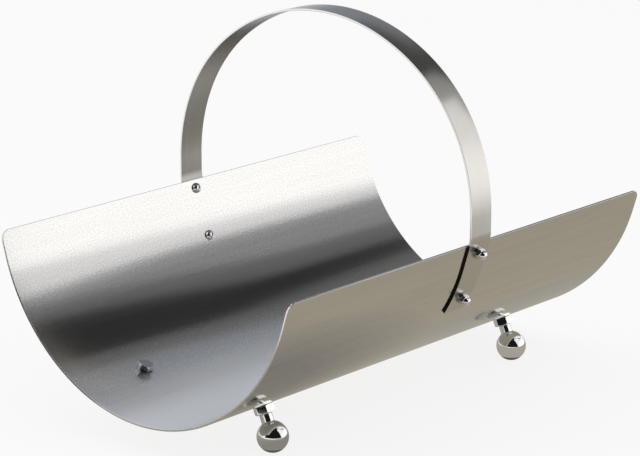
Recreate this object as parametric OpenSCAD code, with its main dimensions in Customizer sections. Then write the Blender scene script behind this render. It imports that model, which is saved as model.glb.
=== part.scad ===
// Log holder: a rolled sheet trough on four ball feet, carried by a flat strap handle.
// The origin is on the floor under the middle of the trough.
// X runs along the trough, Y across it and Z up. Front is -X and left is +Y.

/* [Trough] */
// Length of the trough
trough_length = 530; // [420:5:640]
// Thickness of the rolled sheet
sheet_thickness = 2; // [1:0.5:3]
// Inside radius that the sheet is rolled to
roll_radius = 181; // [150:1:220]
// Angle that the sheet is rolled through on each side of its lowest line
roll_angle = 73; // [62:1:80]
// Width of the flat lip that is left along each long edge
lip_width = 24; // [18:1:40]
// Radius of the sheet's four corners
corner_radius = 10; // [4:1:16]

/* [Handle] */
// Width of the strap
strap_width = 30; // [24:1:40]
// Thickness of the strap
strap_thickness = 2; // [1.5:0.5:5]
// Height above the rims at which the straight legs end and the arch begins
leg_height = 26; // [12:1:60]
// Radius of the arch where it rises from each leg
shoulder_radius = 165; // [130:1:178]
// Angle of that arch before the flatter crown begins
shoulder_angle = 52; // [35:1:70]
// Inside radius of the bend where each leg leaves the wall
rim_bend_radius = 30; // [6:1:34]
// Distance from each lower bolt to the strap's end
tail_margin = 17; // [12:1:30]
// Radius of the corners at the strap's ends
tail_corner_radius = 1.5; // [1:0.5:6]
// Gap between the strap and the wall
strap_gap = 0.2; // [0.1:0.1:0.5]

/* [Handle bolts] */
// Distance of the upper bolts below the rims
bolt_inset = 9; // [8:1:14]
// Distance between the two bolts in each wall
bolt_spacing = 50; // [30:1:70]
// Diameter of the handle bolts
handle_bolt_d = 6; // [5:1:8]
// Diameter of a handle bolt's button head
button_d = 10.5; // [9.5:0.5:14]
// Height of a button head
button_height = 4.5; // [3:0.1:5.5]
// Height of the straight edge of a button head
button_edge = 0.9; // [0.3:0.1:1.2]
// Width across the flats of the socket in a button head
socket_flats = 4; // [3:0.5:5]
// Depth of that socket
socket_depth = 2; // [1.2:0.1:2.2]
// Outer diameter of the handle washers
handle_washer_d = 12; // [11:0.5:16]
// Thickness of the handle washers
handle_washer_t = 1.6; // [1:0.2:2]
// Width across the flats of a cap nut
cap_nut_flats = 10; // [9:0.5:14]
// Height of a cap nut's hexagon
cap_nut_hex_height = 4; // [3:0.5:6]
// Diameter of a cap nut's dome
cap_nut_dome_d = 9.5; // [8.5:0.5:10]
// Whole height of a cap nut
cap_nut_height = 9; // [8:0.5:14]
// Thickness of a cap nut's end, past its blind hole
cap_nut_end = 2.5; // [2:0.5:3.5]

/* [Feet] */
// Distance of the feet from the trough's ends
foot_inset = 83; // [40:1:140]
// Angle of the feet from the trough's lowest line
foot_angle = 24.5; // [15:0.5:40]
// Diameter of the balls
ball_d = 30; // [24:1:40]
// Diameter of the neck above each ball
neck_d = 12; // [11:0.5:16]
// Length of neck that shows between a foot nut and the ball
neck_length = 7; // [4:1:20]
// Radius of the fillet between a neck and its ball
neck_fillet = 1.2; // [0.5:0.1:2]
// Width across the flats of a foot nut
foot_nut_flats = 17; // [15:0.5:22]
// Height of a foot nut
foot_nut_height = 8; // [6:0.5:12]
// Diameter of the foot bolts
foot_bolt_d = 8; // [6:1:9]
// Width across the flats of a foot bolt's head
foot_head_flats = 13; // [12:0.5:17]
// Height of a foot bolt's head
foot_head_height = 5.3; // [4:0.1:7]
// Length of foot bolt that a ball foot takes
foot_engagement = 13; // [9:0.5:16]
// Outer diameter of the washers under the foot bolts' heads
foot_washer_d = 16; // [15:0.5:22]
// Thickness of those washers
foot_washer_t = 1.6; // [1:0.2:2.4]

/* [Fits] */
// Diameter that a bolt hole in sheet, strap or washer has over its bolt
hole_clearance = 0.6; // [0.4:0.1:1]
// Diameter that a threaded hole has over its bolt
thread_clearance = 0.1; // [0.05:0.05:0.2]
// Room between two faces that are clamped together
seat_gap = 0.05; // [0.02:0.01:0.1]
// Depth of a blind hole past the end of its bolt
blind_clearance = 1; // [0.5:0.1:1.5]
// Size of the chamfers on bolt ends, hexagons and neck
chamfer = 0.6; // [0.3:0.1:0.8]

/* [Hidden] */
$fn = 128;
// Sides of a hexagon
hex_sides = 6;
// Angle of the chamfer on the corners of a hexagon
hex_chamfer_angle = 30;
// Share of its flats that a hexagon's turned face reaches
face_share = 0.95;
// Quarter of a turn
quadrant = 90;
// Run of a cut past the faces that it passes through
overrun = 1;
// Angle that a bend runs on behind the straight stretch beside it, so that the two are one piece
lap_angle = 2;
// Step back of a straight stretch from the bends that it meets, too small to see
weld = 0.001;

// The sheet is measured at its middle when a length along it is turned into an angle.
outer_radius = roll_radius + sheet_thickness;
middle_radius = roll_radius + sheet_thickness / 2;

// Places along a handle bolt, measured outwards from the outside of the sheet, and inwards for its head
handle_washer_z = strap_gap + strap_thickness + seat_gap;
cap_nut_z = handle_washer_z + handle_washer_t + seat_gap;
handle_engagement = cap_nut_height - cap_nut_end - blind_clearance;
button_z = sheet_thickness + seat_gap + hollow_rise(button_d / 2);

// Places along a foot in the same way
foot_washer_z = sheet_thickness + seat_gap + hollow_rise(foot_washer_d / 2);
foot_head_z = foot_washer_z + foot_washer_t + seat_gap;
ball_foot_z = foot_nut_height + 2 * seat_gap;
ball_out = ball_foot_z + neck_length + ball_d / 2;
axis_z = (outer_radius + ball_out) * cos(foot_angle) + ball_d / 2;
foot_x = trough_length / 2 - foot_inset;

// Rims, on the outside of the sheet
rim_y = outer_radius * sin(roll_angle) + lip_width * cos(roll_angle);
rim_z = axis_z - outer_radius * cos(roll_angle) + lip_width * sin(roll_angle);

// Strap, from the wall's outside
strap_in = outer_radius + strap_gap;
bend_centre_y = rim_y + (strap_gap - rim_bend_radius) * sin(roll_angle);
bend_centre_z = rim_z - (strap_gap - rim_bend_radius) * cos(roll_angle);
leg_in = bend_centre_y + rim_bend_radius;
leg_top_z = rim_z + leg_height;
leg_middle = leg_in + strap_thickness / 2;
shoulder_y = leg_middle - shoulder_radius;
crown_radius = shoulder_radius + shoulder_y / cos(shoulder_angle);
crown_z = leg_top_z - shoulder_y * tan(shoulder_angle);
tail_length = bolt_inset + bolt_spacing + tail_margin;

// Places of the fasteners and feet
SIDES = [["left", 1], ["right", -1]];
ENDS = [["front", -1], ["rear", 1]];
ROWS = [["upper", bolt_inset], ["lower", bolt_inset + bolt_spacing]];
BOLT_SPOTS = [for (side = SIDES, row = ROWS) [str(side[0], "_", row[0]), side[1], row[1]]];
FOOT_SPOTS = [for (end = ENDS, side = SIDES) [str(end[0], "_", side[0]), side[1], end[1]]];

WALL_KINDS = ["handle_bolt", "handle_washer", "cap_nut"];
FOOT_KINDS = ["foot_bolt", "foot_washer", "foot_nut", "ball_foot"];

// Diameter over the corners of a hexagon of a given width across its flats
function over_corners(flats) = flats / cos(180 / hex_sides);

// Angle of the wall at a distance below the rim, and the run of flat lip still above that place
function wall_angle(below) = roll_angle - max(0, below - lip_width) / middle_radius * 180 / PI;
function lip_run(below) = max(0, lip_width - below);

// How far a flat round face of radius r stands off the inside of the rolled sheet
function hollow_rise(r) = roll_radius - sqrt(roll_radius * roll_radius - r * r);

// Puts its children on the outside of the sheet, with Z pointing outwards
module on_sheet(side, angle, run, x) {
    translate([x, 0, axis_z])
        rotate([side * angle, 0, 0])
            translate([0, side * run, -outer_radius])
                rotate([180, 0, 0])
                    children();
}

module on_wall(side, below) {
    on_sheet(side, wall_angle(below), lip_run(below), 0)
        children();
}

module at_foot(side, end) {
    on_sheet(side, foot_angle, 0, end * foot_x)
        children();
}

// Extrudes an outline drawn in the YZ plane along X, half to each side
module along_x(length) {
    rotate([90, 0, 90])
        linear_extrude(height = length, center = true)
            children();
}

// Sector of a disc that reaches an angle of half, less than a quarter turn, to each side of its middle angle
module sector(radius, middle, half) {
    reach = radius / cos(half / 2) + overrun;
    intersection() {
        circle(r = radius);
        polygon([
            [0, 0],
            for (angle = [middle - half, middle, middle + half]) reach * [cos(angle), sin(angle)]
        ]);
    }
}

// Everything inside one face of a sheet that is rolled about the X axis and runs on straight at its edges
module rolled_outline(radius, run, back) {
    sector(radius, -quadrant, roll_angle + lap_angle);
    for (side = [-1, 1])
        rotate(side * roll_angle)
            translate([side * run / 2, (back + weld - radius) / 2])
                square([run, radius - weld + back], center = true);
}

// What is cut off a plate to round its corner. The corner is at the origin and across and along say
// on which sides of it the plate lies.
module corner_waste(radius, depth, across, along) {
    rotate(atan2(along, across) - quadrant / 2)
        translate([0, 0, -depth / 2])
            difference() {
                translate([-overrun, -overrun, 0])
                    cube([radius + overrun, radius + overrun, depth]);
                translate([radius, radius, -overrun])
                    cylinder(r = radius, h = depth + 2 * overrun);
            }
}

module drilling(diameter, length) {
    translate([0, 0, -length / 2])
        cylinder(d = diameter, h = length);
}

// The holes for the handle bolts, through strap and sheet alike
module bolt_drillings() {
    for (spot = BOLT_SPOTS)
        on_wall(spot[1], spot[2])
            drilling(handle_bolt_d + hole_clearance, 4 * (sheet_thickness + strap_thickness));
}

// Hexagonal prism with the corners of its top, and of its foot too if wanted, turned off at an angle
module hexagon(flats, height, both_ends) {
    face_r = face_share * flats / 2;
    reach = height / tan(hex_chamfer_angle);
    intersection() {
        cylinder(d = over_corners(flats), h = height, $fn = hex_sides);
        cylinder(r1 = face_r + reach, r2 = face_r, h = height);
        if (both_ends)
            cylinder(r1 = face_r, r2 = face_r + reach, h = height);
    }
}

// Plain bolt shank of a given length that runs along +Z and ends in a chamfer
module shank(diameter, length) {
    cylinder(d = diameter, h = length - chamfer);
    translate([0, 0, length - chamfer])
        cylinder(d1 = diameter, d2 = diameter - 2 * chamfer, h = chamfer);
}

module washer(outer, inner, thickness) {
    difference() {
        cylinder(d = outer, h = thickness);
        translate([0, 0, -overrun])
            cylinder(d = inner, h = thickness + 2 * overrun);
    }
}

module trough_section() {
    translate([0, axis_z])
        difference() {
            rolled_outline(outer_radius, lip_width, 0);
            rolled_outline(roll_radius, lip_width + overrun, overrun);
        }
}

// The sheet, rolled into a half pipe with a flat lip along each edge, and drilled for bolts and feet
module trough() {
    color([0.66, 0.65, 0.61])
        difference() {
            along_x(trough_length)
                trough_section();
            for (side = [-1, 1], end = [-1, 1])
                on_sheet(side, roll_angle, lip_width, end * trough_length / 2)
                    corner_waste(corner_radius, 4 * sheet_thickness, -end, side);
            bolt_drillings();
            for (spot = FOOT_SPOTS)
                at_foot(spot[1], spot[2])
                    drilling(foot_bolt_d + hole_clearance, 4 * sheet_thickness);
        }
}

// Everything inside one face of the strap, as seen along X, for a face that is grow outside the inner one
module strap_outline(grow) {
    leg_y = leg_in + grow - weld;
    offset_r = grow - strap_thickness / 2;
    translate([0, axis_z])
        rolled_outline(strap_in + grow, lip_width, 0);
    translate([-leg_y, bend_centre_z])
        square([2 * leg_y, leg_top_z - bend_centre_z]);
    for (side = [-1, 1]) {
        translate([side * bend_centre_y, bend_centre_z])
            circle(r = rim_bend_radius + grow);
        translate([side * shoulder_y, leg_top_z])
            sector(
                shoulder_radius + offset_r,
                quadrant - side * (quadrant - shoulder_angle / 2),
                shoulder_angle / 2 + lap_angle
            );
    }
    translate([0, crown_z])
        sector(crown_radius + offset_r - weld, quadrant, quadrant - shoulder_angle);
}

// The space under the trough, between the strap's two ends
module tail_space() {
    translate([0, axis_z])
        sector(strap_in + strap_thickness + overrun, -quadrant, wall_angle(tail_length));
}

// The flat strap: a tail down each wall, a bend at the rim, a straight leg and a three-centred arch
module handle_strap() {
    color([0.70, 0.69, 0.66])
        difference() {
            along_x(strap_width)
                difference() {
                    strap_outline(strap_thickness);
                    strap_outline(0);
                    tail_space();
                }
            for (side = [-1, 1], end = [-1, 1])
                on_sheet(side, wall_angle(tail_length), lip_run(tail_length), end * strap_width / 2)
                    corner_waste(tail_corner_radius, 4 * (strap_gap + strap_thickness), -end, -side);
            bolt_drillings();
        }
}

// Domed head with a hexagonal socket, standing on its flat face
module button_head() {
    crown = button_height - button_edge;
    dome_r = (button_d * button_d / 4 + crown * crown) / (2 * crown);
    difference() {
        intersection() {
            cylinder(d = button_d, h = button_height);
            translate([0, 0, button_height - dome_r])
                sphere(r = dome_r);
        }
        translate([0, 0, button_height - socket_depth])
            cylinder(d = over_corners(socket_flats), h = socket_depth + overrun, $fn = hex_sides);
    }
}

module handle_bolt(side, below) {
    color([0.80, 0.80, 0.81])
        on_wall(side, below)
            translate([0, 0, -button_z]) {
                rotate([180, 0, 0])
                    button_head();
                shank(handle_bolt_d, button_z + cap_nut_z + handle_engagement);
            }
}

module handle_washer(side, below) {
    color([0.78, 0.78, 0.79])
        on_wall(side, below)
            translate([0, 0, handle_washer_z])
                washer(handle_washer_d, handle_bolt_d + hole_clearance, handle_washer_t);
}

// Domed nut: a hexagon, a short collar and a round cap over a blind hole
module cap_nut(side, below) {
    cap_z = cap_nut_height - cap_nut_dome_d / 2;
    color([0.82, 0.82, 0.83])
        on_wall(side, below)
            translate([0, 0, cap_nut_z])
                difference() {
                    union() {
                        hexagon(cap_nut_flats, cap_nut_hex_height, false);
                        cylinder(d = cap_nut_dome_d, h = cap_z);
                        intersection() {
                            cylinder(d = 2 * cap_nut_dome_d, h = 2 * cap_nut_height);
                            translate([0, 0, cap_z])
                                sphere(d = cap_nut_dome_d);
                        }
                    }
                    translate([0, 0, -overrun])
                        cylinder(
                            d = handle_bolt_d + thread_clearance,
                            h = handle_engagement + blind_clearance + overrun
                        );
                }
}

module foot_bolt(side, end) {
    color([0.76, 0.76, 0.77])
        at_foot(side, end)
            translate([0, 0, -foot_head_z]) {
                rotate([180, 0, 0])
                    hexagon(foot_head_flats, foot_head_height, false);
                shank(foot_bolt_d, foot_head_z + ball_foot_z + foot_engagement);
            }
}

module foot_washer(side, end) {
    color([0.78, 0.78, 0.79])
        at_foot(side, end)
            translate([0, 0, -foot_washer_z])
                rotate([180, 0, 0])
                    washer(foot_washer_d, foot_bolt_d + hole_clearance, foot_washer_t);
}

module foot_nut(side, end) {
    color([0.82, 0.82, 0.83])
        at_foot(side, end)
            translate([0, 0, seat_gap])
                difference() {
                    hexagon(foot_nut_flats, foot_nut_height, true);
                    translate([0, 0, -overrun])
                        cylinder(d = foot_bolt_d + thread_clearance, h = foot_nut_height + 2 * overrun);
                }
}

// Ring of metal that blends the neck into the ball, around the Z axis with the ball's centre at the origin
module ball_fillet() {
    middle_r = neck_d / 2 + neck_fillet;
    middle_z = sqrt(pow(ball_d / 2 + neck_fillet, 2) - middle_r * middle_r);
    ball_share = ball_d / (ball_d + 2 * neck_fillet);
    rotate_extrude()
        difference() {
            polygon([
                [neck_d / 4, -middle_z],
                [middle_r, -middle_z],
                [middle_r * ball_share, -middle_z * ball_share],
                [neck_d / 4, -middle_z * ball_share]
            ]);
            translate([middle_r, -middle_z])
                circle(r = neck_fillet);
        }
}

// A turned foot: a ball, a neck and the fillet between them, over a blind hole
module ball_foot(side, end) {
    color([0.84, 0.84, 0.85])
        at_foot(side, end)
            translate([0, 0, ball_foot_z])
                difference() {
                    union() {
                        cylinder(d1 = neck_d - 2 * chamfer, d2 = neck_d, h = chamfer);
                        translate([0, 0, chamfer])
                            cylinder(d = neck_d, h = neck_length + ball_d / 4);
                        translate([0, 0, neck_length + ball_d / 2]) {
                            ball_fillet();
                            sphere(d = ball_d);
                        }
                    }
                    translate([0, 0, -overrun])
                        cylinder(
                            d = foot_bolt_d + thread_clearance,
                            h = foot_engagement + blind_clearance + overrun
                        );
                }
}

trough();
handle_strap();
for (spot = BOLT_SPOTS) {
    handle_bolt(spot[1], spot[2]);
    handle_washer(spot[1], spot[2]);
    cap_nut(spot[1], spot[2]);
}
for (spot = FOOT_SPOTS) {
    foot_bolt(spot[1], spot[2]);
    foot_washer(spot[1], spot[2]);
    foot_nut(spot[1], spot[2]);
    ball_foot(spot[1], spot[2]);
}
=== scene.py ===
"""Dresses the log holder: a rolled steel trough on ball feet, carried by a flat strap handle."""

import logging
import math
from dataclasses import dataclass, field, replace
from enum import Enum
from functools import cache
from typing import Iterator, Optional, Sequence, Union

import bmesh
import bpy
from bmesh.types import BMesh, BMFace, BMVert
from bpy.types import Material, Node, NodeSocket, Object, World
from mathutils import Matrix, Vector


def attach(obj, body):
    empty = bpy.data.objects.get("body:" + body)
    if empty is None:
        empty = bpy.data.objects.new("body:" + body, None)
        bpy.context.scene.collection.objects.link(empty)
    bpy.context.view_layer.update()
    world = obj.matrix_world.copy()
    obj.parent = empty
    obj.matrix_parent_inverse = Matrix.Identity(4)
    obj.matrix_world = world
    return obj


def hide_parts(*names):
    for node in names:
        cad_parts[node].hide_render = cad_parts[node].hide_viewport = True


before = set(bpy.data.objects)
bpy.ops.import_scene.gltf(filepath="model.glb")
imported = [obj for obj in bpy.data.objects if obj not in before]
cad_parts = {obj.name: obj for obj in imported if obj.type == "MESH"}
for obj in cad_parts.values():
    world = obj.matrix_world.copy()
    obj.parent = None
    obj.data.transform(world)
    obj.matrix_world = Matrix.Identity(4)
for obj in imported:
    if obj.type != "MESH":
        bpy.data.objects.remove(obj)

LOG = logging.getLogger("log_holder")

MM = 0.001
HEX_SIDES = 6
HEX_FACE = 0.95
HEX_SLOPE = math.tan(math.radians(30.0))
HEX_SEGMENTS = 72
SHARP_ANGLE = math.radians(40.0)
WHITE = (1.0, 1.0, 1.0, 1.0)
GRAIN_MAP = "grain"
ROOT = "root"

Number = Union[float, int]
Pair = tuple[float, float]
Triple = tuple[float, float, float]


class Named(Enum):
    """A choice whose name is part of the names of pieces."""

    @property
    def word(self) -> str:
        """The choice's name, as the names of pieces have it."""
        return self.name.lower()


class Side(Named):
    """The two long sides of the trough."""

    LEFT = 1
    RIGHT = -1


class End(Named):
    """The two ends of the trough."""

    FRONT = -1
    REAR = 1


class Row(Named):
    """The two bolts in each wall, from the rim down."""

    UPPER = 0
    LOWER = 1


class PlatePart(Enum):
    """The parts of a bent plate: the face away from its route, the face on it, and the edges."""

    UPPER = 0
    LOWER = 1
    EDGE = 2


class Slot(Enum):
    """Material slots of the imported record."""

    SHEET = "sheet"
    STRAP = "strap"
    PLAIN = "plain"
    POLISHED = "polished"


# Shader nodes


class Signal:
    """A shader socket that takes part in arithmetic."""

    def __init__(self, tree: "ShaderTree", socket: NodeSocket) -> None:
        """Wraps a socket.

        Args:
            tree: The tree that the socket's node is in.
            socket: The output socket.
        """
        self.tree = tree
        self.socket = socket

    def _math(self, operation: str, first: "Term", second: "Term") -> "Signal":
        """A Math node on two terms."""
        node = self.tree.node("ShaderNodeMath", {"operation": operation}, {0: first, 1: second})
        return Signal(self.tree, node.outputs[0])

    def __add__(self, other: "Term") -> "Signal":
        """Sum."""
        return self._math("ADD", self, other)

    __radd__ = __add__

    def __sub__(self, other: "Term") -> "Signal":
        """Difference."""
        return self._math("SUBTRACT", self, other)

    def __rsub__(self, other: "Term") -> "Signal":
        """Reflected difference."""
        return self._math("SUBTRACT", other, self)

    def __mul__(self, other: "Term") -> "Signal":
        """Product."""
        return self._math("MULTIPLY", self, other)

    __rmul__ = __mul__

    def either(self, other: "Term") -> "Signal":
        """The larger of this and another term."""
        return self._math("MAXIMUM", self, other)

    def size(self) -> "Signal":
        """The value without its sign."""
        return self._math("MAXIMUM", self, 0.0 - self)


Term = Union[Signal, Number]
Value = Union[Signal, Number, Sequence[float]]
Colour = Union[Signal, Triple]
Settings = Optional[dict[str, object]]
Inputs = Optional[dict[Union[str, int], Value]]


class ShaderTree:
    """Builds the nodes of one material or of the world."""

    def __init__(self, owner: Union[Material, World]) -> None:
        """Takes over the owner's node tree, emptied.

        Args:
            owner: The material or world.
        """
        owner.use_nodes = True
        self.tree = owner.node_tree
        self.tree.nodes.clear()

    def node(self, kind: str, settings: Settings = None, inputs: Inputs = None) -> Node:
        """Adds a node.

        Args:
            kind: The node's type name.
            settings: Properties of the node, which are set first.
            inputs: Values or links of its sockets, by name or number.

        Returns:
            The new node.
        """
        made = self.tree.nodes.new(kind)
        for name, value in (settings or {}).items():
            setattr(made, name, value)
        for name, value in (inputs or {}).items():
            if isinstance(value, Signal):
                self.tree.links.new(value.socket, made.inputs[name])
            else:
                made.inputs[name].default_value = value
        return made

    def out(
        self, kind: str, output: Union[str, int], settings: Settings = None, inputs: Inputs = None
    ) -> Signal:
        """Adds a node and returns one of its outputs."""
        return Signal(self, self.node(kind, settings, inputs).outputs[output])

    def noise(self, place: Signal, sizes: Triple, detail: float) -> Signal:
        """Noise from 0 to 1.

        Args:
            place: The coordinates that it is laid on.
            sizes: Size of its features along each axis.
            detail: Octaves of finer noise on them.

        Returns:
            The noise.
        """
        scale = [1 / size for size in sizes]
        laid = self.out("ShaderNodeMapping", "Vector", None, {"Vector": place, "Scale": scale})
        inputs = {"Vector": laid, "Scale": 1.0, "Detail": detail, "Roughness": 0.6}
        return self.out("ShaderNodeTexNoise", 0, {"noise_dimensions": "3D"}, inputs)

    def ramp(self, value: Signal, zero: float, one: float) -> Signal:
        """A smooth step that is 0 where the value is at one end and 1 where it is at the other."""
        settings = {"interpolation_type": "SMOOTHSTEP"}
        return self.out("ShaderNodeMapRange", 0, settings, {0: value, 1: zero, 2: one})

    def blend(self, share: Signal, first: Colour, second: Colour) -> Signal:
        """Mixes two colours.

        Args:
            share: The second colour's share, from 0 to 1.
            first: The first colour.
            second: The second colour.

        Returns:
            The mixed colour.
        """
        first, second = (
            colour if isinstance(colour, Signal) else (*colour, 1.0) for colour in (first, second)
        )
        return self.out("ShaderNodeMix", 2, {"data_type": "RGBA"}, {0: share, 6: first, 7: second})

    def bump(self, height: Signal, depth: float, under: Optional[Signal] = None) -> Signal:
        """Bumps a surface.

        Args:
            height: The relief, from 0 to 1.
            depth: How deep the relief is.
            under: The normal that it is laid on, where there is one.

        Returns:
            The bumped normal.
        """
        inputs = {"Strength": 1.0, "Distance": depth, "Height": height}
        if under is not None:
            inputs["Normal"] = under
        return self.out("ShaderNodeBump", "Normal", None, inputs)

    def seen(self) -> Signal:
        """Tells rays that are looked along from rays of light.

        Returns:
            One for rays from the camera, in reflections and through glass, and zero for the rest.
        """
        path = self.node("ShaderNodeLightPath")
        kinds = ("Is Camera Ray", "Is Glossy Ray", "Is Transmission Ray")
        camera, glossy, through = (Signal(self, path.outputs[kind]) for kind in kinds)
        return camera.either(glossy).either(through)

    def principled(self, colour: Signal, metal: Term, rough: Signal, normal: Signal) -> None:
        """Ends a material in a Principled shader."""
        inputs = {"Base Color": colour, "Metallic": metal, "Roughness": rough, "Normal": normal}
        shader = self.out("ShaderNodeBsdfPrincipled", "BSDF", None, inputs)
        self.node("ShaderNodeOutputMaterial", None, {"Surface": shader})


# Finishes


@dataclass(frozen=True)
class Scuffing:
    """Matt wear that logs leave inside a rolled sheet, along its lowest line, coloured bluish pale
    as painted cool light.
    """

    # The bluish pale colour is painted cool light on the worn bottom.
    colour: Triple
    metal: float
    roughness: float
    middle: float
    full_reach: float
    reach: float
    streak_spread: float
    speckle_spread: float

    def share(self, tree: ShaderTree, around: Signal, streaks: Signal, speckle: Signal) -> Signal:
        """How worn the sheet is, with its painted cool light, from 0 to 1.

        Args:
            tree: The material's nodes.
            around: Distance around the sheet from its lowest line, in metres.
            streaks: Long noise that breaks the wear and the painted cool light up.
            speckle: Fine noise that breaks it up.

        Returns:
            The share of the wear and its painted cool light in the finish.
        """
        spread = (streaks - 0.5) * self.streak_spread + (speckle - 0.5) * self.speckle_spread
        return tree.ramp((around - self.middle).size() + spread, self.reach, self.full_reach)


@dataclass(frozen=True)
class BrushedSteel:
    """Satin stainless steel with a fine grain along one direction of the piece's grain map."""

    name: str
    slot: Slot
    colour: Triple
    worn_colour: Triple
    roughness: float
    roughness_spread: float
    streak_width: float
    streak_length: float
    grain_width: float
    grain_length: float
    bump_depth: float
    speckle_size: float
    speckle_depth: float
    fleck_colour: Triple = (0.2, 0.2, 0.2)
    fleck_range: Pair = (0.7, 0.3)
    flecks: float = 0.0
    scuffing: Optional[Scuffing] = None

    @cache
    def material(self) -> Material:
        """Makes the material, once for all the pieces that share it.

        Returns:
            A material that reads the grain map, in metres: across the grain first, then along it.
        """
        made = bpy.data.materials.new(self.name)
        tree = ShaderTree(made)
        place = tree.out("ShaderNodeUVMap", "UV", {"uv_map": GRAIN_MAP})
        streaks = tree.noise(place, (self.streak_width, self.streak_length, 1.0), 4.0)
        grain = tree.noise(place, (self.grain_width, self.grain_length, 1.0), 3.0)
        speckle = tree.noise(place, (self.speckle_size, self.speckle_size, 1.0), 1.0)
        colour = tree.blend(streaks, self.worn_colour, self.colour)
        rough = (streaks + grain - 1.0) * self.roughness_spread + self.roughness
        metal: Term = 1.0
        if self.scuffing:
            around = tree.out("ShaderNodeSeparateXYZ", "X", None, {0: place})
            wear_and_cool_light_share = self.scuffing.share(tree, around, streaks, speckle)
            matt_and_cool_light_share = wear_and_cool_light_share * wear_and_cool_light_share
            # Painted cool light: the worn bottom is blended towards the bluish pale colour.
            colour = tree.blend(matt_and_cool_light_share, colour, self.scuffing.colour)
            rough = wear_and_cool_light_share * (self.scuffing.roughness - self.roughness) + rough
            metal = 1.0 - matt_and_cool_light_share * (1.0 - self.scuffing.metal)
        flecked = tree.ramp(speckle, *self.fleck_range) * self.flecks
        colour = tree.blend(flecked, colour, self.fleck_colour)
        relief = tree.bump(grain + streaks * 0.5, self.bump_depth)
        tree.principled(colour, metal, rough, tree.bump(speckle, self.speckle_depth, relief))
        return made


@dataclass(frozen=True)
class SolidMetal:
    """Polished or plain metal with faint handling marks, and painted shade below a set height where
    one is given.
    """

    name: str
    slot: Slot
    colour: Triple
    dull_colour: Triple
    roughness: float
    roughness_spread: float
    mark_size: float
    bump_depth: float
    painted_shade_colour: Triple = (0.03, 0.028, 0.026)
    painted_shade_top: float = 0.0
    painted_shade_fade: float = 3 * MM

    @cache
    def material(self) -> Material:
        """Makes the material, once for all the pieces that share it.

        Returns:
            A material that reads Object coordinates, with painted shade below a given height.
        """
        made = bpy.data.materials.new(self.name)
        tree = ShaderTree(made)
        place = tree.out("ShaderNodeTexCoord", "Object")
        marks = tree.noise(place, (self.mark_size,) * 3, 3.0)
        rough = marks * self.roughness_spread + self.roughness
        colour = tree.blend(marks, self.dull_colour, self.colour)
        # Painted shade: below the set height the colour goes nearly black.
        if self.painted_shade_top:
            height = tree.out("ShaderNodeSeparateXYZ", "Z", None, {0: place})
            above_painted_shade = tree.ramp(height, self.painted_shade_top, self.painted_shade_top + self.painted_shade_fade)
            colour = tree.blend(above_painted_shade, self.painted_shade_colour, colour)
        tree.principled(colour, 1.0, rough, tree.bump(marks, self.bump_depth))
        return made


Finish = Union[BrushedSteel, SolidMetal]

SHEET_STEEL = BrushedSteel(
    name="brushed_sheet",
    slot=Slot.SHEET,
    colour=(0.72, 0.71, 0.69),
    worn_colour=(0.58, 0.57, 0.55),
    roughness=0.12,
    roughness_spread=0.05,
    streak_width=6 * MM,
    streak_length=240 * MM,
    grain_width=0.5 * MM,
    grain_length=9 * MM,
    bump_depth=0.012 * MM,
    speckle_size=2.2 * MM,
    speckle_depth=0.02 * MM,
)
SHEET_INSIDE = replace(
    SHEET_STEEL,
    name="brushed_sheet_inside",
    colour=(0.765, 0.755, 0.745),
    worn_colour=(0.655, 0.645, 0.635),
    roughness=0.15,
    speckle_size=1.6 * MM,
    speckle_depth=0.035 * MM,
    flecks=0.22,
    scuffing=Scuffing(
        # Bluish pale colour: painted cool light. The low metal and high roughness are the real dull
        # wear.
        colour=(0.75, 0.79, 0.85),
        metal=0.1,
        roughness=0.55,
        middle=-25 * MM,
        full_reach=22 * MM,
        reach=145 * MM,
        streak_spread=25 * MM,
        speckle_spread=120 * MM,
    ),
)
STRAP_STEEL = replace(
    SHEET_STEEL,
    name="brushed_bar",
    slot=Slot.STRAP,
    colour=(0.64, 0.625, 0.60),
    worn_colour=(0.55, 0.535, 0.51),
    roughness=0.32,
    roughness_spread=0.10,
    streak_width=3 * MM,
    streak_length=160 * MM,
    bump_depth=0.01 * MM,
    speckle_size=2 * MM,
    speckle_depth=0.01 * MM,
)
# The strap's inner face: the same steel painted darker, as painted shade on the face towards the
# trough.
STRAP_INSIDE_PAINTED_SHADE = replace(
    STRAP_STEEL,
    name="brushed_bar_inside_painted_shade",
    colour=(0.42, 0.405, 0.38),
    worn_colour=(0.36, 0.345, 0.32),
)
STRAP_EDGE = SolidMetal(
    name="cut_bar_edge",
    slot=Slot.STRAP,
    colour=(0.88, 0.87, 0.85),
    dull_colour=(0.78, 0.77, 0.75),
    roughness=0.08,
    roughness_spread=0.06,
    mark_size=3 * MM,
    bump_depth=0.01 * MM,
    # Painted shade: the cut edge goes nearly black below the trough's rim, where the strap's tails
    # lie against the walls.
    painted_shade_top=177 * MM,
)
SHEET_EDGE = SolidMetal(
    name="cut_sheet_edge",
    slot=Slot.SHEET,
    colour=(0.80, 0.79, 0.77),
    dull_colour=(0.66, 0.65, 0.63),
    roughness=0.10,
    roughness_spread=0.08,
    mark_size=4 * MM,
    bump_depth=0.01 * MM,
)
CHROME = SolidMetal(
    name="polished_chrome",
    slot=Slot.POLISHED,
    colour=(0.84, 0.845, 0.85),
    dull_colour=(0.80, 0.805, 0.81),
    roughness=0.03,
    roughness_spread=0.03,
    mark_size=9 * MM,
    bump_depth=0.0,
)
PLAIN_STEEL = SolidMetal(
    name="plain_steel",
    slot=Slot.PLAIN,
    colour=(0.46, 0.47, 0.49),
    dull_colour=(0.38, 0.39, 0.41),
    roughness=0.07,
    roughness_spread=0.06,
    mark_size=2 * MM,
    bump_depth=0.01 * MM,
)


# Shared ways of making pieces


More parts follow.
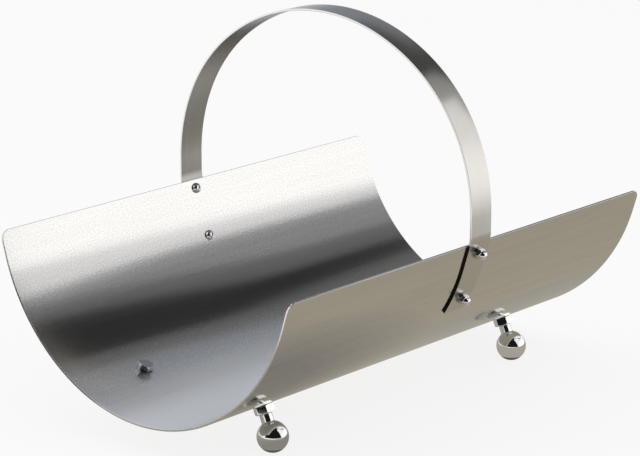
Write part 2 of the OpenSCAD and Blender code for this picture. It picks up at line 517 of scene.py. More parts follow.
def link(name: str, data: bpy.types.ID) -> Object:
    """Adds an object with the given data to the scene."""
    made = bpy.data.objects.new(name, data)
    bpy.context.scene.collection.objects.link(made)
    return made


def link_mesh(bm: BMesh, name: str, materials: Sequence[Material]) -> Object:
    """Adds a bmesh to the scene.

    Args:
        bm: The mesh, in its place. It is freed.
        name: The object's name.
        materials: Its materials, by the numbers that its faces give.

    Returns:
        The object, at the origin, unturned and unscaled.
    """
    mesh = bpy.data.meshes.new(name)
    bm.to_mesh(mesh)
    bm.free()
    for material in materials:
        mesh.materials.append(material)
    return link(name, mesh)


def finish_piece(bm: BMesh, name: str, *finishes: Finish) -> None:
    """Turns a bmesh into a shaded piece that rides on the holder.

    Args:
        bm: The mesh, in its place on the holder. It is freed.
        name: The name of the CAD node that the piece stands for.
        finishes: Its finishes, by the numbers that its faces give.
    """
    bmesh.ops.recalc_face_normals(bm, faces=bm.faces[:])
    made = link_mesh(bm, f"{name}_look", [finish.material() for finish in finishes])
    made.data.shade_smooth()
    made.data.set_sharp_from_angle(angle=SHARP_ANGLE)
    made.modifiers.new("even_normals", "WEIGHTED_NORMAL").keep_sharp = True
    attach(made, ROOT)
    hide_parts(name)
    LOG.info("%s: %d faces", made.name, len(made.data.polygons))


def ease_edges(bm: BMesh, angle: float, width: float, segments: int) -> None:
    """Rounds every edge that is sharper than an angle.

    Args:
        bm: The mesh.
        angle: The least angle between two faces of an edge that is rounded, in degrees.
        width: The rounding's width.
        segments: Faces across the rounding.
    """
    limit = math.radians(angle)
    sharp = [edge for edge in bm.edges if edge.is_manifold and edge.calc_face_angle(0.0) > limit]
    bmesh.ops.bevel(
        bm,
        geom=sharp,
        offset=width,
        offset_type="OFFSET",
        affect="EDGES",
        segments=segments,
        profile=0.5,
        clamp_overlap=True,
        material=-1,
    )


@dataclass(frozen=True)
class Stretch:
    """One stretch of a bent plate: an arc, or a straight run where its radius is zero."""

    run: float
    radius: float = 0.0

    @property
    def turn(self) -> float:
        """Angle that the stretch turns through, in radians. Left is positive."""
        return self.run / self.radius if self.radius else 0.0

    def along(self, distance: float) -> Triple:
        """Where a distance along the stretch leads.

        Args:
            distance: Distance from the start of the stretch.

        Returns:
            How far forward and how far left of the start it is, and the angle turned.
        """
        if not self.radius:
            return distance, 0.0, 0.0
        angle = distance / self.radius
        return self.radius * math.sin(angle), self.radius * (1 - math.cos(angle)), angle


@dataclass(frozen=True)
class Route:
    """The face that a plate is bent along, from the middle plane to one end, seen along X."""

    height: float
    stretches: tuple[Stretch, ...]

    @property
    def length(self) -> float:
        """Length from the middle plane to the end."""
        return sum(stretch.run for stretch in self.stretches)

    def place(self, distance: float) -> tuple[Vector, Vector]:
        """The place on the route at a distance from the middle plane.

        Args:
            distance: Distance along the route, at least zero.

        Returns:
            The point and the direction to its left, both as (y, z).
        """
        point, heading, left = Vector((0.0, self.height)), 0.0, distance
        for stretch in self.stretches:
            forward, side, angle = stretch.along(min(left, stretch.run))
            c, s = math.cos(heading), math.sin(heading)
            point = point + Vector((c * forward - s * side, s * forward + c * side))
            heading += angle
            left -= stretch.run
            if left <= 0:
                break
        return point, Vector((-math.sin(heading), math.cos(heading)))

    def stations(self, step: float) -> Iterator[float]:
        """Distances at which a plate is divided so that its bends are smooth.

        Args:
            step: The largest angle between two stations, in radians.

        Yields:
            Distances from the middle plane, short of the end.
        """
        start = 0.0
        for stretch in self.stretches:
            count = max(1, math.ceil(abs(stretch.turn) / step))
            for index in range(count):
                yield start + stretch.run * index / count
            start += stretch.run


@dataclass(frozen=True)
class BentPlate:
    """A flat blank with rounded corners that is bent along a route to each side of the middle."""

    route: Route
    width: float
    thickness: float
    corner_radius: float
    edge: float
    step: float = math.radians(1.5)
    corner_segments: int = 12
    edge_segments: int = 3
    edge_angle: float = 60.0
    edge_lean: float = math.radians(30.0)

    def blank(self) -> BMesh:
        """Makes the flat blank.

        Returns:
            The blank. X is across the holder's middle plane and Y runs along the route.
        """
        bm = bmesh.new()
        bmesh.ops.create_grid(bm, x_segments=1, y_segments=1, size=1.0)
        bmesh.ops.scale(bm, vec=(self.width / 2, self.route.length, 1.0), verts=bm.verts[:])
        bmesh.ops.bevel(
            bm,
            geom=bm.verts[:],
            offset=self.corner_radius,
            offset_type="OFFSET",
            affect="VERTICES",
            segments=self.corner_segments,
            profile=0.5,
            material=-1,
        )
        grown = bmesh.ops.extrude_face_region(bm, geom=bm.faces[:])
        top = [item for item in grown["geom"] if isinstance(item, BMVert)]
        bmesh.ops.translate(bm, vec=(0.0, 0.0, self.thickness), verts=top)
        bmesh.ops.recalc_face_normals(bm, faces=bm.faces[:])
        ease_edges(bm, self.edge_angle, self.edge, self.edge_segments)
        return bm

    def divide(self, bm: BMesh) -> None:
        """Cuts the blank across at every station, on both sides of the middle.

        Args:
            bm: The blank.
        """
        for distance in self.route.stations(self.step):
            for side in (1.0, -1.0) if distance else (1.0,):
                bmesh.ops.bisect_plane(
                    bm,
                    geom=bm.verts[:] + bm.edges[:] + bm.faces[:],
                    plane_co=(0.0, side * distance, 0.0),
                    plane_no=(0.0, 1.0, 0.0),
                )

    def bend(self, bm: BMesh) -> None:
        """Bends the divided blank along the route.

        Args:
            bm: The blank.
        """
        for vert in bm.verts:
            along = vert.co.y
            side = math.copysign(1.0, along)
            point, left = self.route.place(abs(along))
            y, z = point + left * vert.co.z
            vert.co = Vector((vert.co.x, side * y, z))

    def part_of(self, face: BMFace) -> PlatePart:
        """Tells which part of the plate a face belongs to.

        Args:
            face: A face of the divided blank.

        Returns:
            The part.
        """
        if abs(face.normal.z) < math.cos(self.edge_lean):
            return PlatePart.EDGE
        above = face.calc_center_median().z > self.thickness / 2
        return PlatePart.UPPER if above else PlatePart.LOWER

    def build(self, along_x: bool) -> BMesh:
        """The bent plate, with its grain map.

        Args:
            along_x: Whether the grain runs along X. Otherwise it runs along the route.

        Returns:
            The mesh, in its place on the holder.
        """
        bm = self.blank()
        self.divide(bm)
        grain = bm.loops.layers.uv.new(GRAIN_MAP)
        for face in bm.faces:
            face.material_index = self.part_of(face).value
            for loop in face.loops:
                x, y, _ = loop.vert.co
                loop[grain].uv = (y, x) if along_x else (x, y)
        self.bend(bm)
        return bm


@dataclass(frozen=True)
class Ring:
    """One ring of a turned or hexagonal piece, around the Z axis.

    A hexagon's radius reaches to its flats. Past its face_radius the ring steps back from the face
    that lean points along, as a chamfered corner does.
    """

    z: float
    radius: float
    hexagon: bool = False
    face_radius: float = 0.0
    lean: int = 1

    def shape(self, verts: Sequence[BMVert]) -> None:
        """Moves the points of a circle of radius 1 to the ring.

        Args:
            verts: The circle's points.
        """
        half_side = math.pi / HEX_SIDES
        for vert in verts:
            angle = math.atan2(vert.co.y, vert.co.x)
            radius = self.radius
            if self.hexagon:
                off_flat = (angle % (2 * half_side)) - half_side
                radius = self.radius / math.cos(off_flat)
            past = max(0.0, radius - self.face_radius) if self.face_radius else 0.0
            z = self.z - self.lean * (HEX_SLOPE * past)
            vert.co = Vector((radius * math.cos(angle), radius * math.sin(angle), z))


@dataclass(frozen=True)
class RingPiece:
    """A piece that is lofted through rings, either closed round a bore or closed at both ends."""

    rings: tuple[Ring, ...]
    bored: bool
    segments: int = 48
    edge: float = 0.12 * MM
    edge_angle: float = 28.0
    edge_segments: int = 2

    def build(self, seat: Matrix, z: float) -> BMesh:
        """Lofts the piece and puts it in its place.

        Args:
            seat: From the fastener's frame to the holder's.
            z: Height of the piece's own zero in the fastener's frame.

        Returns:
            The mesh, in its place on the holder.
        """
        bm = bmesh.new()
        loops = []
        for ring in self.rings:
            circle = bmesh.ops.create_circle(bm, cap_ends=False, radius=1.0, segments=self.segments)
            ring.shape(circle["verts"])
            edges = (edge for vert in circle["verts"] for edge in vert.link_edges)
            loops.append(list(dict.fromkeys(edges)))
        following = loops[1:] + loops[:1] if self.bored else loops[1:]
        for first, second in zip(loops, following):
            bmesh.ops.bridge_loops(bm, edges=first + second)
        if not self.bored:
            for loop in (loops[0], loops[-1]):
                bmesh.ops.contextual_create(bm, geom=loop)
        bmesh.ops.recalc_face_normals(bm, faces=bm.faces[:])
        ease_edges(bm, self.edge_angle, self.edge, self.edge_segments)
        bmesh.ops.transform(bm, matrix=seat @ Matrix.Translation((0.0, 0.0, z)), verts=bm.verts[:])
        return bm


def arc_rings(
    centre_z: float, radius: float, start: float, end: float, count: int, centre_r: float = 0.0
) -> list[Ring]:
    """Rings along an arc in the half plane of Z and the distance from it.

    Args:
        centre_z: Height of the arc's centre.
        radius: The arc's radius.
        start: Angle of its first ring from the plane of the centre, in degrees, up being positive.
        end: Angle of its last ring.
        count: Steps between them.
        centre_r: Distance of the arc's centre from the axis.

    Returns:
        The rings, in order.
    """
    angles = [math.radians(start + (end - start) * index / count) for index in range(count + 1)]
    return [Ring(centre_z + radius * math.sin(a), centre_r + radius * math.cos(a)) for a in angles]


def hex_start(z: float, flat_r: float) -> tuple[Ring, Ring]:
    """The round face and the chamfered corners that a hexagon starts with."""
    face_r = flat_r * HEX_FACE
    return Ring(z, face_r), Ring(z, flat_r, hexagon=True, face_radius=face_r, lean=-1)


# The holder


@dataclass(frozen=True)
class Layout:
    """Sizes that more than one sub-assembly uses, as in the CAD source."""

    length: float = 530 * MM
    sheet: float = 2 * MM
    roll_radius: float = 181 * MM
    roll_angle: float = math.radians(73.0)
    lip: float = 24 * MM
    strap: float = 2 * MM
    strap_gap: float = 0.2 * MM
    seat_gap: float = 0.05 * MM
    foot_angle: float = math.radians(24.5)
    foot_inset: float = 83 * MM
    ball_d: float = 30 * MM
    neck_length: float = 7 * MM
    foot_nut_height: float = 8 * MM
    bolt_inset: float = 9 * MM
    bolt_spacing: float = 50 * MM

    @property
    def outer_radius(self) -> float:
        """Radius of the sheet's outside."""
        return self.roll_radius + self.sheet

    @property
    def neck_z(self) -> float:
        """Distance from the sheet's outside to the top of a foot's neck."""
        return self.foot_nut_height + 2 * self.seat_gap

    @property
    def axis_z(self) -> float:
        """Height of the axis that the sheet is rolled about."""
        ball_out = self.neck_z + self.neck_length + self.ball_d / 2
        return (self.outer_radius + ball_out) * math.cos(self.foot_angle) + self.ball_d / 2

    def hollow_rise(self, radius: float) -> float:
        """How far a flat round face stands off the inside of the rolled sheet."""
        return self.roll_radius - math.sqrt(self.roll_radius**2 - radius**2)

    def on_sheet(self, side: Side, angle: float, run: float, x: float) -> Matrix:
        """A place on the outside of the sheet, with Z pointing outwards.

        Args:
            side: The side of the trough.
            angle: Angle from the lowest line, in radians.
            run: Distance up the flat lip past that angle.
            x: Place along the trough.

        Returns:
            The matrix from that place's frame to the holder's.
        """
        return (
            Matrix.Translation((x, 0.0, self.axis_z))
            @ Matrix.Rotation(side.value * angle, 4, "X")
            @ Matrix.Translation((0.0, side.value * run, -self.outer_radius))
            @ Matrix.Rotation(math.pi, 4, "X")
        )

    def wall_angle(self, below: float) -> float:
        """Angle of the wall at a distance below the rim, in radians."""
        middle = self.roll_radius + self.sheet / 2
        return self.roll_angle - max(0.0, below - self.lip) / middle

    def on_wall(self, side: Side, row: Row) -> Matrix:
        """The place of a handle bolt, with Z pointing outwards."""
        below = self.bolt_inset + row.value * self.bolt_spacing
        return self.on_sheet(side, self.wall_angle(below), max(0.0, self.lip - below), 0.0)

    def at_foot(self, side: Side, end: End) -> Matrix:
        """The place of a foot, with Z pointing outwards."""
        x = end.value * (self.length / 2 - self.foot_inset)
        return self.on_sheet(side, self.foot_angle, 0.0, x)


@dataclass(frozen=True)
class Trough:
    """The rolled sheet, with a flat lip along each long edge."""

    layout: Layout
    corner_radius: float = 10 * MM
    edge: float = 0.35 * MM

    def build(self) -> None:
        """Makes the trough."""
        size = self.layout
        rolled = Stretch(size.outer_radius * size.roll_angle, size.outer_radius)
        route = Route(size.axis_z - size.outer_radius, (rolled, Stretch(size.lip)))
        plate = BentPlate(route, size.length, size.sheet, self.corner_radius, self.edge)
        bm = plate.build(along_x=True)
        finish_piece(bm, "trough", SHEET_INSIDE, SHEET_STEEL, SHEET_EDGE)


@dataclass(frozen=True)
class HandleStrap:
    """The flat strap: a crown, two shoulders, two legs, two bends at the rims and two tails."""

    layout: Layout
    width: float = 30 * MM
    leg_height: float = 26 * MM
    shoulder_radius: float = 165 * MM
    shoulder_angle: float = math.radians(52.0)
    bend_radius: float = 30 * MM
    tail_margin: float = 17 * MM
    tail_corner: float = 1.5 * MM
    edge: float = 0.3 * MM

    def route(self) -> Route:
        """Lays out the bends.

        Returns:
            The strap's inner face, from the top of the crown to the end of the left tail.
        """
        size = self.layout
        half = size.strap / 2
        roll = size.roll_angle
        rim_y = size.outer_radius * math.sin(roll) + size.lip * math.cos(roll)
        rim_z = size.axis_z - size.outer_radius * math.cos(roll) + size.lip * math.sin(roll)
        bend_y = rim_y + (size.strap_gap - self.bend_radius) * math.sin(roll)
        bend_z = rim_z - (size.strap_gap - self.bend_radius) * math.cos(roll)
        leg_top_z = rim_z + self.leg_height
        shoulder_y = bend_y + self.bend_radius + half - self.shoulder_radius
        crown_radius = self.shoulder_radius + shoulder_y / math.cos(self.shoulder_angle)
        crown_z = leg_top_z - shoulder_y * math.tan(self.shoulder_angle)
        crown_in, shoulder_in = crown_radius - half, self.shoulder_radius - half
        strap_in = size.outer_radius + size.strap_gap
        tail_turn = roll - size.wall_angle(size.bolt_inset + size.bolt_spacing + self.tail_margin)
        return Route(
            crown_z + crown_radius - half,
            (
                Stretch(crown_in * (math.pi / 2 - self.shoulder_angle), -crown_in),
                Stretch(shoulder_in * self.shoulder_angle, -shoulder_in),
                Stretch(leg_top_z - bend_z),
                Stretch(self.bend_radius * (math.pi / 2 - roll), -self.bend_radius),
                Stretch(size.lip),
                Stretch(strap_in * tail_turn, -strap_in),
            ),
        )

    def build(self) -> None:
        """Makes the strap."""
        strap = self.layout.strap
        plate = BentPlate(self.route(), self.width, strap, self.tail_corner, self.edge)
        bm = plate.build(along_x=False)
        finish_piece(bm, "handle_strap", STRAP_STEEL, STRAP_INSIDE_PAINTED_SHADE, STRAP_EDGE)


@dataclass(frozen=True)
class Fastener:
    """A bolt through the sheet and its washer. Its frame is on the sheet's outside, Z outwards."""

    layout: Layout
    bolt_d: float = 6 * MM
    washer_d: float = 12 * MM
    engagement: float = 5.5 * MM
    washer_t: float = 1.6 * MM
    blind: float = 1 * MM
    hole_clearance: float = 0.6 * MM
    thread_clearance: float = 0.1 * MM
    chamfer: float = 0.6 * MM

    @property
    def bore(self) -> float:
        """Radius of a threaded bore."""
        return (self.bolt_d + self.thread_clearance) / 2

    def blind_bore(self) -> tuple[Ring, Ring]:
        """The rings of a blind bore, from its closed end."""
        return Ring(self.engagement + self.blind, self.bore), Ring(0.0, self.bore)

    def shank(self, end: float) -> tuple[Ring, Ring, Ring]:
        """The rings of the bolt's shank, from its head to its chamfered end."""
        radius = self.bolt_d / 2
        return Ring(0.0, radius), Ring(end - self.chamfer, radius), Ring(end, radius - self.chamfer)

    def washer(self) -> RingPiece:
        """The washer, from its lower face."""
        bore, rim, top = (self.bolt_d + self.hole_clearance) / 2, self.washer_d / 2, self.washer_t
        return RingPiece((Ring(0.0, bore), Ring(0.0, rim), Ring(top, rim), Ring(top, bore)), True)


@dataclass(frozen=True)
class WallFastener(Fastener):
    """A button head bolt from inside the wall, with a washer and a cap nut outside the strap."""

    button_d: float = 10.5 * MM
    button_height: float = 4.5 * MM
    button_edge: float = 0.9 * MM
    button_steps: int = 8
    socket_flats: float = 4 * MM
    socket_depth: float = 2 * MM
    nut_flats: float = 10 * MM
    nut_hex_height: float = 4 * MM
    nut_dome_d: float = 9.5 * MM
    nut_height: float = 9 * MM
    dome_steps: int = 16
    dome_end: float = 88.0

    @property
    def washer_z(self) -> float:
        """Height of the washer."""
        size = self.layout
        return size.strap_gap + size.strap + size.seat_gap

    @property
    def nut_z(self) -> float:
        """Height of the cap nut."""
        return self.washer_z + self.washer_t + self.layout.seat_gap

    @property
    def head_z(self) -> float:
        """Depth of the button head's flat face."""
        size = self.layout
        return size.sheet + size.seat_gap + size.hollow_rise(self.button_d / 2)

    def bolt(self) -> RingPiece:
        """Shapes the bolt.

        Returns:
            The bolt, with its head's flat face at zero and its shank along +Z.
        """
        crown = self.button_height - self.button_edge
        edge_r = self.button_d / 2
        dome_r = (edge_r**2 + crown**2) / (2 * crown)
        dome_z = dome_r - self.button_height
        socket_r = self.socket_flats / 2
        mouth_r = socket_r / math.cos(math.pi / HEX_SIDES)
        reach, steps = edge_r - mouth_r, self.button_steps
        radii = [mouth_r + reach * (index + 0.5) / (steps + 0.5) for index in range(steps + 1)]
        rings = (
            Ring(self.socket_depth - self.button_height, socket_r, hexagon=True),
            Ring(dome_z - math.sqrt(dome_r**2 - mouth_r**2), socket_r, hexagon=True),
            *(Ring(dome_z - math.sqrt(dome_r**2 - r**2), r) for r in radii),
            Ring(0.0, edge_r),
            *self.shank(self.head_z + self.nut_z + self.engagement),
        )
        return RingPiece(rings, False)

    def cap_nut(self) -> RingPiece:
        """Shapes the cap nut.

        Returns:
            The nut, from its lower face: a blind bore, a hexagon, a collar and a dome.
        """
        flat_r, dome_r = self.nut_flats / 2, self.nut_dome_d / 2
        rings = (
            *self.blind_bore(),
            *hex_start(0.0, flat_r),
            Ring(self.nut_hex_height, flat_r, hexagon=True, face_radius=dome_r),
            Ring(self.nut_hex_height, dome_r),
            *arc_rings(self.nut_height - dome_r, dome_r, 0.0, self.dome_end, self.dome_steps),
        )
        return RingPiece(rings, False, HEX_SEGMENTS)

    def build(self, side: Side, row: Row) -> None:
        """Makes the three pieces at one place.

        Args:
            side: The side of the trough.
            row: Which of the wall's two bolts it is.
        """
        spot, wall = f"{side.word}_{row.word}", self.layout.on_wall(side, row)
        finish_piece(self.bolt().build(wall, -self.head_z), f"handle_bolt_{spot}", CHROME)
        finish_piece(self.washer().build(wall, self.washer_z), f"handle_washer_{spot}", PLAIN_STEEL)
        finish_piece(self.cap_nut().build(wall, self.nut_z), f"cap_nut_{spot}", CHROME)


@dataclass(frozen=True)
class FootSet(Fastener):
    """A ball foot with its neck, the nut above it, and the bolt and washer inside the trough."""

    bolt_d: float = 8 * MM
    washer_d: float = 16 * MM
    engagement: float = 13 * MM
    head_flats: float = 13 * MM
    head_height: float = 5.3 * MM
    nut_flats: float = 17 * MM
    neck_d: float = 12 * MM
    neck_fillet: float = 1.2 * MM
    fillet_steps: int = 6
    ball_segments: int = 96
    ball_steps: int = 48
    ball_start: float = 1.5
    ball_end: float = 89.0

    @property
    def washer_z(self) -> float:
        """Depth of the washer's outer face."""
        size = self.layout
        return size.sheet + size.seat_gap + size.hollow_rise(self.washer_d / 2)

    @property
    def head_z(self) -> float:
        """Depth of the bolt head's lower face."""
        return self.washer_z + self.washer_t + self.layout.seat_gap

    def bolt(self) -> RingPiece:
        """Shapes the bolt.

        Returns:
            The bolt, with its head's lower face at zero and its shank along +Z.
        """
        rings = (
            *hex_start(-self.head_height, self.head_flats / 2),
            Ring(0.0, self.head_flats / 2, hexagon=True),
            *self.shank(self.head_z + self.layout.neck_z + self.engagement),
        )
        return RingPiece(rings, False, HEX_SEGMENTS)

    def nut(self) -> RingPiece:
        """Shapes the hexagon nut.

        Returns:
            The nut, from its lower face, chamfered at both ends.
        """
        flat_r, top = self.nut_flats / 2, self.layout.foot_nut_height
        face_r = flat_r * HEX_FACE
        rings = (
            Ring(0.0, self.bore),
            *hex_start(0.0, flat_r),
            Ring(top, flat_r, hexagon=True, face_radius=face_r),
            Ring(top, face_r),
            Ring(top, self.bore),
        )
        return RingPiece(rings, True, HEX_SEGMENTS)

    def ball(self) -> RingPiece:
        """Shapes the neck and the ball.

        Returns:
            The foot, from the neck's top, over a blind bore.
        """
        ball_r, neck_r = self.layout.ball_d / 2, self.neck_d / 2
        centre = self.layout.neck_length + ball_r
        fillet_r, middle_r = self.neck_fillet, neck_r + self.neck_fillet
        drop = math.sqrt((ball_r + fillet_r) ** 2 - middle_r**2)
        meet = math.degrees(math.atan2(drop, middle_r))
        steps = self.fillet_steps
        rings = (
            *self.blind_bore(),
            Ring(0.0, neck_r - self.chamfer),
            Ring(self.chamfer, neck_r),
            *arc_rings(centre - drop, fillet_r, 180.0, 180.0 - meet, steps, middle_r),
            *arc_rings(centre, ball_r, self.ball_start - meet, self.ball_end, self.ball_steps),
        )
        return RingPiece(rings, False, self.ball_segments)

    def build(self, side: Side, end: End) -> None:
        """Makes the four pieces at one place.

        Args:
            side: The side of the trough.
            end: The end of the trough.
        """
        size = self.layout
        spot, foot = f"{end.word}_{side.word}", size.at_foot(side, end)
        washer_z = -self.washer_z - self.washer_t
        finish_piece(self.bolt().build(foot, -self.head_z), f"foot_bolt_{spot}", PLAIN_STEEL)
        finish_piece(self.washer().build(foot, washer_z), f"foot_washer_{spot}", PLAIN_STEEL)
        finish_piece(self.nut().build(foot, size.seat_gap), f"foot_nut_{spot}", CHROME)
        finish_piece(self.ball().build(foot, size.neck_z), f"ball_foot_{spot}", CHROME)


# The studio


@dataclass(frozen=True)
class StudioCamera:
    """The camera, at the photograph's place and angle."""

    place: Triple = (-1.89902, -1.62253, 0.83864)
    azimuth: float = -49.285
    elevation: float = 15.201
    roll: float = 0.135
    lens_mm: float = 149.58

    def build(self) -> None:
        """Makes the camera and gives it to the scene."""
        data = bpy.data.cameras.new("camera")
        data.lens = self.lens_mm
        made = link("camera", data)
        azimuth, elevation = math.radians(self.azimuth), math.radians(self.elevation)
        made.matrix_world = (
            Matrix.Translation(self.place)
            @ Matrix.Rotation(azimuth, 4, "Z")
            @ Matrix.Rotation(math.pi / 2 - elevation, 4, "X")
            @ Matrix.Rotation(math.radians(self.roll), 4, "Z")
        )
        bpy.context.scene.camera = made


@dataclass(frozen=True)
class Softbox:
    """A flat lamp that faces a point. A radiance of 1 renders as white."""

    name: str
    place: Triple
    aim: Triple
    size: Pair
    radiance: float

    def build(self) -> None:
        """Makes the lamp."""
        data = bpy.data.lights.new(self.name, "AREA")
        data.shape = "RECTANGLE"
        data.size, data.size_y = self.size
        data.energy = self.radiance * math.pi * self.size[0] * self.size[1]
        place = Vector(self.place)
        turn = (Vector(self.aim) - place).to_track_quat("-Z", "Y")
        pose = Matrix.Translation(place) @ turn.to_matrix().to_4x4()
        link(self.name, data).matrix_world = pose


@dataclass(frozen=True)
class Card:
    """A flat card of the studio that only reflections see."""

    name: str
    shade: Triple
    corners: tuple[Triple, ...]

    @classmethod
    def upright(cls, name: str, x: float, shade: Triple, *corners: Pair) -> "Card":
        """A card square to X, by the Y and Z of its corners."""
        return cls(name, shade, tuple((x, y, z) for y, z in corners))

    @classmethod
    def level(cls, name: str, z: float, shade: Triple, *corners: Pair) -> "Card":
        """A level card, by the X and Y of its corners."""
        return cls(name, shade, tuple((x, y, z) for x, y in corners))

    @classmethod
    def oval(cls, name: str, place: Triple, radii: Pair, shade: Triple, sides: int = 32) -> "Card":
        """Makes a level oval card.

        Args:
            name: Its name.
            place: Its middle.
            radii: Its radii along X and Y.
            shade: Its colour.
            sides: Its straight sides.

        Returns:
            The card.
        """
        angles = [2 * math.pi * index / sides for index in range(sides)]
        x, y, z = place
        corners = [(x + radii[0] * math.cos(a), y + radii[1] * math.sin(a)) for a in angles]
        return cls.level(name, z, shade, *corners)

    def build(self) -> None:
        """Makes the card."""
        bm = bmesh.new()
        bm.faces.new([bm.verts.new(corner) for corner in self.corners])
        material = bpy.data.materials.new(self.name)
        tree = ShaderTree(material)
        glow = tree.out("ShaderNodeEmission", 0, None, {"Color": (*self.shade, 1.0)})
        tree.node("ShaderNodeOutputMaterial", None, {"Surface": glow})
        made = link_mesh(bm, self.name, [material])
        made.visible_camera = False
        made.visible_diffuse = False
        made.visible_shadow = False


@dataclass(frozen=True)
class Dusk:
    """A soft dim place of nested ovals on the floor, which the near end of the right wall shows."""

    steps: int = 10
    place: Pair = (-0.16, -0.12)
    height: float = 0.0007
    rise: float = 0.00002
    radii: Pair = (0.27, 0.17)
    narrowing: Pair = (0.20, 0.12)
    shade: Triple = (0.45, 0.415, 0.35)
    darkening: Triple = (0.17, 0.15, 0.115)

    def card(self, step: int) -> Card:
        """Makes one of the ovals.

        Args:
            step: Its number, from the widest inwards.

        Returns:
            The oval card.
        """
        share = (step + 1) / self.steps
        place = (*self.place, self.height + self.rise * step)
        radii = tuple(full - less * share for full, less in zip(self.radii, self.narrowing))
        shade = tuple(full - less * share for full, less in zip(self.shade, self.darkening))
        return Card.oval(f"dusk_{step}", place, radii, shade)


CARDS = (
    Card(
        "side_card", (1.50, 1.49, 1.46),
        ((0.73, -1.95, 0.0), (1.97, -0.65, 0.0), (1.97, -0.65, 0.80), (0.73, -1.95, 0.80)),
    ),
    Card.upright(
        "dark_card", 1.15, (0.03, 0.03, 0.03),
        (-0.92, 1.62), (-0.80, 1.43), (-0.54, 1.28), (-0.25, 1.13), (-0.17, 0.93),
        (-0.12, 0.79), (0.00, 0.76), (0.03, 1.05), (0.09, 1.18), (0.09, 1.30),
        (0.03, 1.42), (-0.08, 1.75), (-0.15, 2.10), (-0.85, 2.10),
    ),
    Card.upright(
        "dim_card", 1.2, (0.165, 0.165, 0.165),
        (-1.18, 1.62), (-0.98, 1.28), (-0.70, 1.16), (-0.42, 1.00), (-0.30, 0.82),
        (-0.16, 0.68), (0.25, 0.75), (0.34, 1.10), (0.36, 1.24), (0.28, 1.42),
        (0.10, 2.25), (-1.10, 2.25),
    ),
    Card.upright(
        "grey_card", 1.3, (0.33, 0.33, 0.335),
        (-1.50, 2.60), (-1.45, 1.70), (-1.23, 1.24), (-1.04, 1.00), (-0.70, 0.80),
        (-0.48, 0.66), (-0.22, 0.50), (0.00, 0.45), (2.20, 0.30), (2.20, 2.60),
    ),
    Card.upright(
        "cool_card", 1.25, (0.30, 0.325, 0.365),
        (0.20, 0.80), (2.20, 0.30), (2.20, 2.60), (0.20, 2.60),
    ),
    Card(
        "rim_card", (1.0, 1.05, 1.12),
        ((0.06, 0.21, 0.24), (0.42, 0.21, 0.24), (0.42, 0.30, 0.42), (0.06, 0.30, 0.42)),
    ),
    Card.level(
        "ceiling_card", 2.6, (0.10, 0.10, 0.10),
        (1.3, -1.4), (1.3, 2.2), (-1.6, 2.2), (-1.6, -1.4),
    ),
    Card(
        "camera_side_card", (0.01, 0.01, 0.01),
        ((-1.88, 0.40, 0.15), (0.28, -1.98, 0.0), (-0.28, -0.51, 2.2)),
    ),
    Card.upright(
        "arch_card", 0.035, (1.15, 1.14, 1.13),
        (-0.160, 0.335), (-0.178, 0.290), (-0.245, 0.285), (-0.205, 0.366),
    ),
    Card.upright(
        "shoulder_card", 0.037, (0.42, 0.42, 0.41),
        (-0.130, 0.370), (-0.150, 0.320), (-0.215, 0.345), (-0.165, 0.402),
    ),
    Card.upright(
        "crown_card", 0.035, (0.04, 0.04, 0.04),
        (-0.120, 0.375), (-0.020, 0.405), (0.000, 0.440), (-0.100, 0.440), (-0.135, 0.410),
    ),
    Card.level(
        "khaki_card", 0.0003, (0.46, 0.42, 0.34),
        (-0.60, -0.60), (0.60, -0.60), (0.60, 0.60), (-0.60, 0.60),
    ),
    Card.level(
        "foot_card", 0.0006, (0.43, 0.41, 0.36),
        (-0.60, -0.115), (0.60, -0.115), (0.60, 0.12), (-0.60, 0.12),
    ),
    Card.level(
        "end_card", 0.001, (0.04, 0.04, 0.04),
        (-0.34, 0.12), (-0.50, 0.25), (-0.60, 0.36), (-0.95, 0.68),
        (-0.85, 0.80), (-0.60, 0.53), (-0.42, 0.42), (-0.30, 0.20),
    ),
    Card.level(
        "strip_card", 0.0009, (0.08, 0.08, 0.075),
        (0.20, -0.67), (0.68, -0.67), (0.64, -0.58), (0.20, -0.58),
    ),
    # Painted shadow: a dark card for the trough's shadow on the floor beyond the far wall.
    Card.level(
        "shade_card", 0.0009, (0.09, 0.075, 0.06),
        (0.20, 0.13), (0.80, 0.13), (0.90, 0.85), (0.32, 0.60),
    ),
)


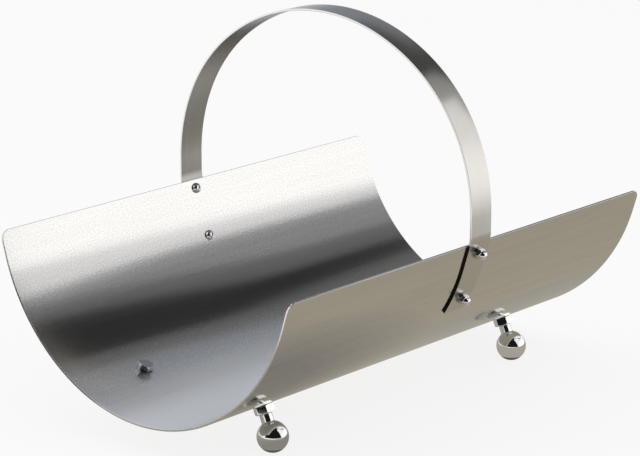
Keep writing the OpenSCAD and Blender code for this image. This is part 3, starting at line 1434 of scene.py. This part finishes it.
@dataclass(frozen=True)
class Studio:
    """A pale floor under soft light, with a white surround and cards for the metal to reflect."""

    layout: Layout
    floor_radius: float = 9.0
    floor_sides: int = 96
    floor_colour: Triple = (0.88, 0.88, 0.88)
    floor_glow: float = 0.85
    ambient: float = 0.75
    contact_radius: float = 11 * MM
    contact_height: float = 1.2 * MM
    contact_shade: Triple = (0.10, 0.10, 0.10)
    dusk: Dusk = Dusk()
    lamp: Softbox = Softbox("top_softbox", (-0.4, 0.9, 1.9), (0.0, 0.0, 0.1), (1.2, 1.2), 0.9)
    cards: tuple[Card, ...] = CARDS

    def floor_paper(self) -> Material:
        """Makes the floor's material.

        Returns:
            Matt white paper, which looks whiter to the camera and in reflections than it is lit.
        """
        made = bpy.data.materials.new("floor_paper")
        tree = ShaderTree(made)
        paper = tree.out("ShaderNodeBsdfDiffuse", 0, None, {"Color": (*self.floor_colour, 1.0)})
        glow = tree.out("ShaderNodeEmission", 0, None, {"Color": WHITE})
        share = tree.seen() * self.floor_glow
        mixed = tree.out("ShaderNodeMixShader", 0, None, {0: share, 1: paper, 2: glow})
        tree.node("ShaderNodeOutputMaterial", None, {"Surface": mixed})
        return made

    def floor(self) -> None:
        """Makes the floor."""
        bm = bmesh.new()
        radius, sides = self.floor_radius, self.floor_sides
        bmesh.ops.create_circle(bm, cap_ends=True, radius=radius, segments=sides)
        link_mesh(bm, "floor", [self.floor_paper()])

    def world(self) -> None:
        """A white surround for the camera and reflections, and a plain level of light elsewhere."""
        made = bpy.data.worlds.new("studio")
        tree = ShaderTree(made)
        strength = tree.seen() * (1.0 - self.ambient) + self.ambient
        glow = tree.out("ShaderNodeBackground", 0, None, {"Color": WHITE, "Strength": strength})
        tree.node("ShaderNodeOutputWorld", None, {"Surface": glow})
        bpy.context.scene.world = made

    def contact(self, side: Side, end: End) -> Card:
        """The dark place under a ball, where it keeps the light off the floor.

        Args:
            side: The side of the trough.
            end: The end of the trough.

        Returns:
            A round card.
        """
        size = self.layout
        foot = size.at_foot(side, end)
        ball = foot @ Vector((0.0, 0.0, size.neck_z + size.neck_length + size.ball_d / 2))
        place = (ball.x, ball.y, self.contact_height)
        radii = (self.contact_radius, self.contact_radius)
        return Card.oval(f"contact_{end.word}_{side.word}", place, radii, self.contact_shade)

    def build(self) -> None:
        """Makes the floor, the lights and the cards."""
        bpy.context.scene.view_settings.view_transform = "Standard"
        self.world()
        self.floor()
        self.lamp.build()
        for card in self.cards:
            card.build()
        for side in Side:
            for end in End:
                self.contact(side, end).build()
        for step in range(self.dusk.steps):
            self.dusk.card(step).build()


@dataclass(frozen=True)
class LogHolder:
    """The whole holder."""

    layout: Layout = field(default_factory=Layout)

    def build(self) -> None:
        """Makes every piece."""
        Trough(self.layout).build()
        HandleStrap(self.layout).build()
        for side in Side:
            for row in Row:
                WallFastener(self.layout).build(side, row)
            for end in End:
                FootSet(self.layout).build(side, end)


def main() -> None:
    """Builds the scene: the camera, the holder and the studio."""
    logging.basicConfig(level=logging.INFO, format="%(name)s %(message)s")
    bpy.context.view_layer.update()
    holder = LogHolder()
    StudioCamera().build()
    holder.build()
    Studio(holder.layout).build()


if __name__ == "__main__":
    main()
